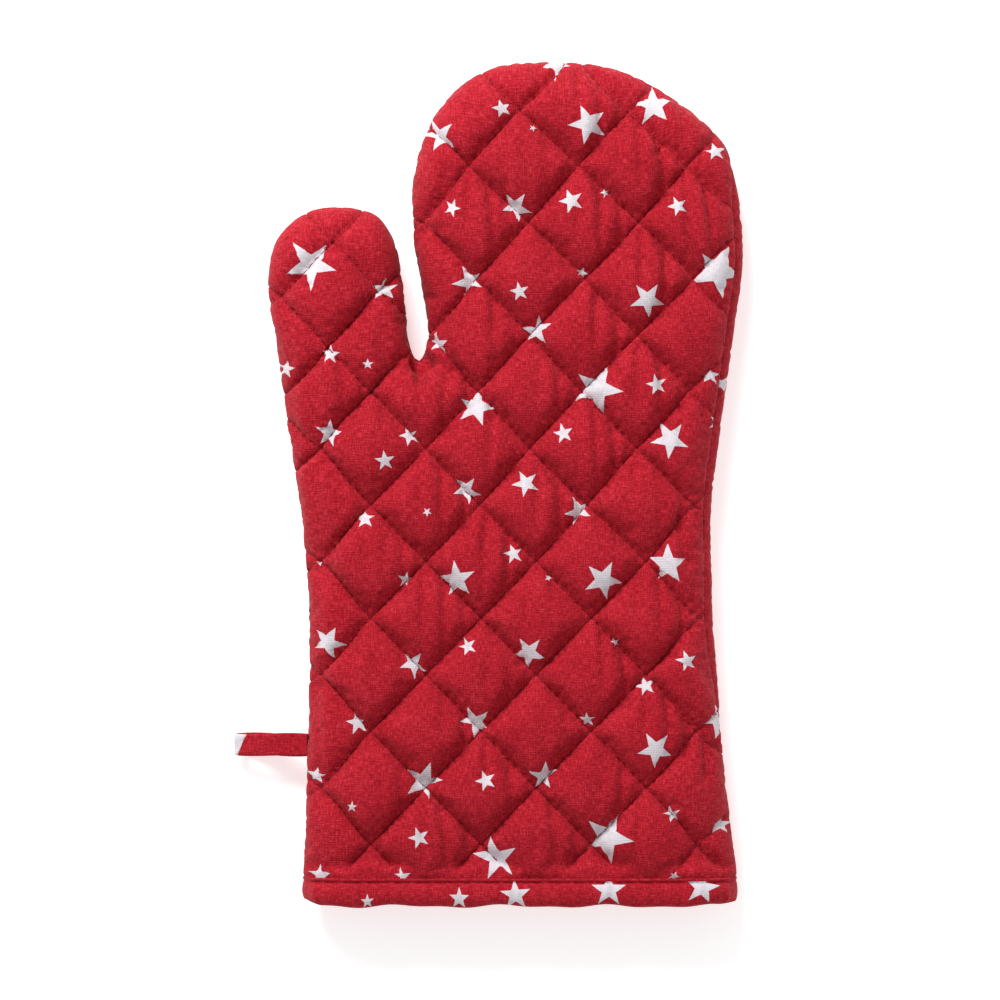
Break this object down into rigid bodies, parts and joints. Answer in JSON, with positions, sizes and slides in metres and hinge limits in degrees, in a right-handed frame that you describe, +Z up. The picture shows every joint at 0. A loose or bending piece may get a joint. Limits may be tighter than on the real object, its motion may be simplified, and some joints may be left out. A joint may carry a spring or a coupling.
{
  "type": "oven mitt",
  "caption": "Quilted fabric oven mitt with thumb, bound cuff and side hanging loop, lying flat on its back, red with a white star print.",
  "frame": {"origin": "middle of the whole mitt's box, on the surface that the mitt's back lies on", "axes": "+X across the cuff away from the thumb, +Y from the cuff to the fingertips, +Z up out of the front panel"},
  "size_m": [0.1943, 0.3201, 0.028],
  "materials": {
    "printed_linen": "crimson plain-weave linen blend with white printed stars",
    "lining_cotton": "natural undyed plain-weave cotton",
    "wadding_fibre": "matt polyester fibre wadding",
    "sewing_thread": "crimson polyester sewing thread, slight sheen"
  },
  "bodies": {
    "palm": {"front_outer_cloth": "printed_linen", "back_outer_cloth": "printed_linen", "front_lining": "lining_cotton", "back_lining": "lining_cotton", "front_wadding_palm": "wadding_fibre", "back_wadding_palm": "wadding_fibre", "cuff_binding": "printed_linen", "binding_topstitch": "sewing_thread", "side_seam_thread": "sewing_thread", "back_thread_falling_01": "sewing_thread", "back_thread_falling_02": "sewing_thread", "back_thread_falling_03": "sewing_thread", "back_thread_falling_04": "sewing_thread", "back_thread_falling_05": "sewing_thread", "back_thread_falling_06": "sewing_thread", "back_thread_falling_07": "sewing_thread", "back_thread_falling_08": "sewing_thread", "back_thread_falling_09": "sewing_thread", "back_thread_falling_10": "sewing_thread", "back_thread_rising_04": "sewing_thread", "back_thread_rising_05": "sewing_thread", "back_thread_rising_06": "sewing_thread", "back_thread_rising_07": "sewing_thread", "back_thread_rising_08": "sewing_thread", "back_thread_rising_09": "sewing_thread", "back_thread_rising_10": "sewing_thread", "back_thread_rising_11": "sewing_thread", "front_thread_falling_01": "sewing_thread", "front_thread_falling_02": "sewing_thread", "front_thread_falling_03": "sewing_thread", "front_thread_falling_04": "sewing_thread", "front_thread_falling_05": "sewing_thread", "front_thread_falling_06": "sewing_thread", "front_thread_falling_07": "sewing_thread", "front_thread_falling_08": "sewing_thread", "front_thread_falling_09": "sewing_thread", "front_thread_falling_10": "sewing_thread", "front_thread_rising_04": "sewing_thread", "front_thread_rising_05": "sewing_thread", "front_thread_rising_06": "sewing_thread", "front_thread_rising_07": "sewing_thread", "front_thread_rising_08": "sewing_thread", "front_thread_rising_09": "sewing_thread", "front_thread_rising_10": "sewing_thread", "front_thread_rising_11": "sewing_thread"},
    "fingers": {"front_wadding_fingers": "wadding_fibre", "back_wadding_fingers": "wadding_fibre", "back_thread_falling_11": "sewing_thread", "back_thread_rising_03": "sewing_thread", "front_thread_falling_11": "sewing_thread", "front_thread_rising_03": "sewing_thread"},
    "thumb": {"front_wadding_thumb": "wadding_fibre", "back_wadding_thumb": "wadding_fibre", "back_thread_rising_01": "sewing_thread", "back_thread_rising_02": "sewing_thread", "front_thread_rising_01": "sewing_thread", "front_thread_rising_02": "sewing_thread"},
    "loop": {"hanging_loop": "printed_linen"}
  },
  "joints": [
    {"name": "finger_bend", "type": "hinge", "parent": "palm", "child": "fingers", "pos_m": [0.034, 0.08, 0.028], "axis": [1, 0, 0], "range_deg": [0, 50], "deforming": ["front_outer_cloth", "back_outer_cloth", "front_lining", "back_lining", "side_seam_thread", "back_thread_falling_08", "back_thread_falling_09", "back_thread_falling_10", "back_thread_rising_05", "back_thread_rising_06", "back_thread_rising_07", "front_thread_falling_08", "front_thread_falling_09", "front_thread_falling_10", "front_thread_rising_05", "front_thread_rising_06", "front_thread_rising_07"]},
    {"name": "thumb_bend", "type": "hinge", "parent": "palm", "child": "thumb", "pos_m": [-0.04896, 0.0511, 0.028], "axis": [0.6978, 0.7163, 0], "range_deg": [0, 40], "deforming": ["front_outer_cloth", "back_outer_cloth", "front_lining", "back_lining", "side_seam_thread", "back_thread_falling_05", "back_thread_falling_06", "front_thread_falling_05", "front_thread_falling_06"]},
    {"name": "loop_swing", "type": "hinge", "parent": "palm", "child": "loop", "pos_m": [-0.0711, -0.09975, 0.011], "axis": [0, 1, 0], "range_deg": [-60, 100]}
  ]
}
